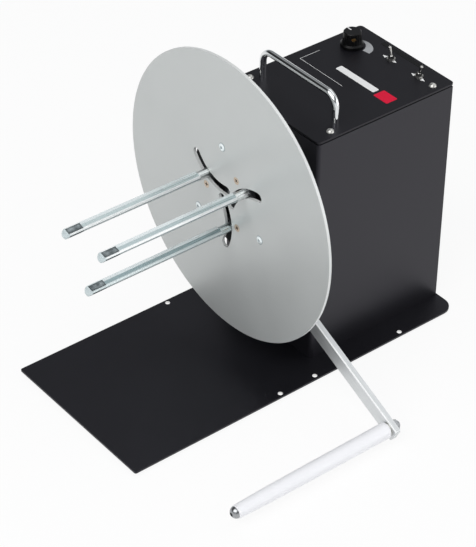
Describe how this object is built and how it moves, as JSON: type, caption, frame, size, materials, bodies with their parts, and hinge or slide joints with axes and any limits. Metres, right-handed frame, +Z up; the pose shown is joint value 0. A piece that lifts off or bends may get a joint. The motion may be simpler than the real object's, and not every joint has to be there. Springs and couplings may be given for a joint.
{
  "type": "label unwinder",
  "caption": "Powered label unwinder: black steel box on a base plate, grey flange disc with an adjustable core holder of long posts, and a swinging arm with a white guide roller.",
  "frame": {"origin": "middle of the four outer bolt holes, on the base plate's underside; the rubber feet reach 3 mm below", "axes": "+X to the right seen from the front, +Y to the back along the spindle, +Z up"},
  "size_m": [0.3639, 0.4088, 0.3363],
  "materials": {
    "powder_black": "black powder coat, fine texture",
    "panel_black": "black satin panel",
    "matt_aluminium": "matt grey anodised",
    "bare_aluminium": "clear anodised bar",
    "zinc": "bright zinc plated steel",
    "steel": "machined steel",
    "chrome": "polished chrome plate",
    "brass": "yellow passivated or solid brass",
    "rubber": "black rubber",
    "white_plastic": "white satin plastic",
    "black_plastic": "black moulded plastic",
    "dark_steel": "blackened steel",
    "board_green": "green circuit board"
  },
  "bodies": {
    "frame": {"base_plate": "powder_black", "rubber_feet": "rubber", "housing": "powder_black", "housing_screws": "steel", "rear_panel": "powder_black", "rear_panel_screws": "steel", "top_panel": "panel_black", "top_panel_screws": "chrome", "carry_handle": "chrome", "handle_screws": "steel", "potentiometer": "steel", "direction_switch": "zinc", "torque_switch": "zinc", "control_nuts": "zinc", "spindle_housing": "bare_aluminium", "spindle_housing_screws": "steel", "front_bearing": "steel", "rear_bearing": "steel", "gear_motor": "steel", "motor_bracket": "zinc", "motor_screws": "steel", "bracket_screws": "steel", "control_board": "board_green", "board_standoffs": "brass", "board_parts": "dark_steel", "power_inlet": "black_plastic", "dancer_bush": "brass", "dancer_sensor": "black_plastic", "dancer_stops": "zinc"},
    "spindle": {"drive_shaft": "steel", "shaft_coupling": "bare_aluminium", "motor_output_shaft": "steel", "hub_plate": "dark_steel", "flange_disc": "matt_aluminium", "flange_spacers": "zinc", "flange_screws": "brass", "pivot_pins": "zinc"},
    "arm_1": {"swing_arm_1": "zinc", "core_post_1": "zinc", "grip_pads_1": "rubber"},
    "arm_2": {"swing_arm_2": "zinc", "core_post_2": "zinc", "grip_pads_2": "rubber"},
    "arm_3": {"swing_arm_3": "zinc", "core_post_3": "zinc", "grip_pads_3": "rubber"},
    "sun": {"sun_gear": "steel"},
    "dancer": {"dancer_arm": "bare_aluminium", "dancer_shaft": "steel", "dancer_collar": "steel", "roller_axle": "steel", "roller_washers": "zinc", "axle_nut": "zinc"},
    "roller": {"dancer_roller": "white_plastic"},
    "knob": {"torque_knob": "black_plastic", "knob_set_screw": "brass", "potentiometer_shaft": "steel"},
    "direction_toggle": {"direction_lever": "chrome"},
    "torque_toggle": {"torque_lever": "chrome"}
  },
  "joints": [
    {"name": "spindle_turn", "type": "hinge", "parent": "frame", "child": "spindle", "pos_m": [0, -0.053, 0.1833], "axis": [0, 1, 0], "continuous": true},
    {"name": "arm_1_swing", "type": "hinge", "parent": "spindle", "child": "arm_1", "pos_m": [-0.0073, -0.0667, 0.23731], "axis": [0, 1, 0], "range_deg": [-36.5, 25]},
    {"name": "arm_2_swing", "type": "hinge", "parent": "spindle", "child": "arm_2", "pos_m": [0.05042, -0.0667, 0.16262], "axis": [0, 1, 0], "range_deg": [-36.5, 25]},
    {"name": "arm_3_swing", "type": "hinge", "parent": "spindle", "child": "arm_3", "pos_m": [-0.04312, -0.0667, 0.14997], "axis": [0, 1, 0], "range_deg": [-36.5, 25]},
    {"name": "sun_turn", "type": "hinge", "parent": "spindle", "child": "sun", "pos_m": [0, -0.0647, 0.1833], "axis": [0, 1, 0], "range_deg": [-28.6, 41.7]},
    {"name": "dancer_swing", "type": "hinge", "parent": "frame", "child": "dancer", "pos_m": [0, -0.0353, 0.1066], "axis": [0, -1, 0], "range_deg": [0, 78]},
    {"name": "roller_turn", "type": "hinge", "parent": "dancer", "child": "roller", "pos_m": [0.20275, -0.133, 0.01184], "axis": [0, 1, 0], "continuous": true},
    {"name": "knob_turn", "type": "hinge", "parent": "frame", "child": "knob", "pos_m": [-0.044, 0.1177, 0.2682], "axis": [0, 0, 1], "range_deg": [-168, 0]},
    {"name": "direction_flip", "type": "hinge", "parent": "frame", "child": "direction_toggle", "pos_m": [-0.0005, 0.1307, 0.2629], "axis": [0, 1, 0], "range_deg": [0, 36]},
    {"name": "torque_flip", "type": "hinge", "parent": "frame", "child": "torque_toggle", "pos_m": [0.0395, 0.1307, 0.2629], "axis": [0, 1, 0], "range_deg": [-36, 0]}
  ],
  "couplings": [
    {"joint": "arm_2_swing", "follows": "arm_1_swing", "ratio": 1},
    {"joint": "arm_3_swing", "follows": "arm_1_swing", "ratio": 1},
    {"joint": "sun_turn", "follows": "arm_1_swing", "ratio": -1.1373}
  ]
}
